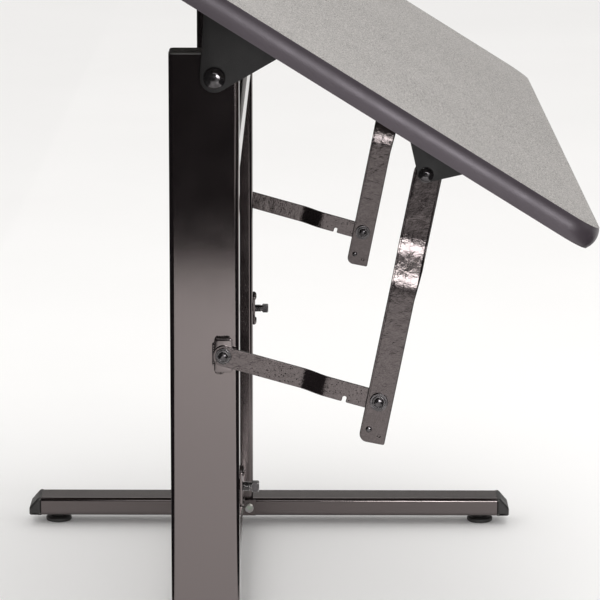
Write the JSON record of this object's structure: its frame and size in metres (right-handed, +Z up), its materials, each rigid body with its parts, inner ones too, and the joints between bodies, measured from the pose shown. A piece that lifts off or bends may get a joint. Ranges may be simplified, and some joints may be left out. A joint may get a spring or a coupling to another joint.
{
  "type": "drafting table",
  "caption": "Tilting drafting table: grey laminate top with a bulging dark edge band, hinged on rectangular posts that slide on T-feet, with folding flat-bar braces.",
  "frame": {"origin": "centre of the bounding box at floor level, with the top at its rest tilt and the posts fully lowered", "axes": "+X towards the user, where the low front edge of the top is; +Y along the width of the top; +Z up"},
  "size_m": [0.7826, 1.2188, 1.0963],
  "materials": {
    "black_enamel": "gloss black enamel on tube, lightly orange-peeled",
    "bar_enamel": "glossy black enamel with a coarse orange peel",
    "bracket_black": "satin black",
    "rivet_black": "black over steel, worn bright on the rims",
    "zinc_steel": "bright zinc plate",
    "black_plastic": "moulded, fine grain",
    "particle_board": "raw particle board, enclosed",
    "grey_laminate": "matt grey laminate with a fine speckle",
    "backing_sheet": "dark melamine backing",
    "edge_vinyl": "satin charcoal vinyl edge band"
  },
  "bodies": {
    "base": {"foot_left": "black_enamel", "foot_right": "black_enamel", "foot_caps": "black_plastic", "levelling_glides": "black_plastic", "inner_leg_left": "zinc_steel", "inner_leg_right": "zinc_steel", "floor_stretcher": "black_enamel", "stretcher_screws": "zinc_steel"},
    "frame": {"post_left": "black_enamel", "post_right": "black_enamel", "post_caps": "black_plastic", "cross_beam": "black_enamel", "clamp_plate_left": "black_enamel", "clamp_plate_right": "black_enamel", "brace_tab_left": "black_enamel", "brace_tab_right": "black_enamel", "link_rivet_left": "rivet_black", "link_rivet_right": "rivet_black"},
    "top": {"top_core": "particle_board", "top_laminate": "grey_laminate", "top_backer": "backing_sheet", "edge_band": "edge_vinyl", "hinge_bracket_left": "bracket_black", "hinge_bracket_right": "bracket_black", "hinge_bolts": "rivet_black", "hinge_nuts": "zinc_steel", "hinge_washers": "zinc_steel", "brace_bracket_left": "bracket_black", "brace_bracket_right": "bracket_black", "bracket_screws": "zinc_steel", "arm_rivet_left": "rivet_black", "arm_rivet_right": "rivet_black"},
    "arm_left": {"arm_left": "bar_enamel", "joint_rivet_left": "rivet_black", "stop_pin_left": "rivet_black"},
    "link_left": {"link_left": "bar_enamel", "link_tail_left": "rivet_black"},
    "clamp_screw_left": {"clamp_screw_left": "rivet_black"},
    "arm_right": {"arm_right": "bar_enamel", "joint_rivet_right": "rivet_black", "stop_pin_right": "rivet_black"},
    "link_right": {"link_right": "bar_enamel", "link_tail_right": "rivet_black"},
    "clamp_screw_right": {"clamp_screw_right": "rivet_black"}
  },
  "joints": [
    {"name": "height_slide", "type": "slide", "parent": "base", "child": "frame", "axis": [0, 0, 1], "range_m": [0, 0.25]},
    {"name": "top_tilt", "type": "hinge", "parent": "frame", "child": "top", "pos_m": [-0.0207, 0, 0.7675], "axis": [0, 1, 0], "range_deg": [-31.9, 8.1]},
    {"name": "arm_left_pivot", "type": "hinge", "parent": "top", "child": "arm_left", "pos_m": [0.20824, -0.50855, 0.6641], "axis": [0, 1, 0], "range_deg": [-12, 42]},
    {"name": "link_left_pivot", "type": "hinge", "parent": "frame", "child": "link_left", "pos_m": [-0.0121, -0.50555, 0.4606], "axis": [0, 1, 0], "range_deg": [-52, 14]},
    {"name": "arm_right_pivot", "type": "hinge", "parent": "top", "child": "arm_right", "pos_m": [0.20824, 0.50155, 0.6641], "axis": [0, 1, 0], "range_deg": [-12, 42]},
    {"name": "link_right_pivot", "type": "hinge", "parent": "frame", "child": "link_right", "pos_m": [-0.0121, 0.50455, 0.4606], "axis": [0, 1, 0], "range_deg": [-52, 14]},
    {"name": "clamp_screw_left_turn", "type": "hinge", "parent": "frame", "child": "clamp_screw_left", "pos_m": [0.0135, -0.48, 0.3065], "axis": [1, 0, 0], "range_deg": [0, 360]},
    {"name": "clamp_screw_right_turn", "type": "hinge", "parent": "frame", "child": "clamp_screw_right", "pos_m": [0.0135, 0.48, 0.3065], "axis": [1, 0, 0], "range_deg": [0, 360]}
  ],
  "couplings": [
    {"joint": "arm_left_pivot", "follows": "top_tilt", "ratio": -1.26},
    {"joint": "link_left_pivot", "follows": "top_tilt", "ratio": 1.491},
    {"joint": "arm_right_pivot", "follows": "top_tilt", "ratio": -1.26},
    {"joint": "link_right_pivot", "follows": "top_tilt", "ratio": 1.491}
  ]
}
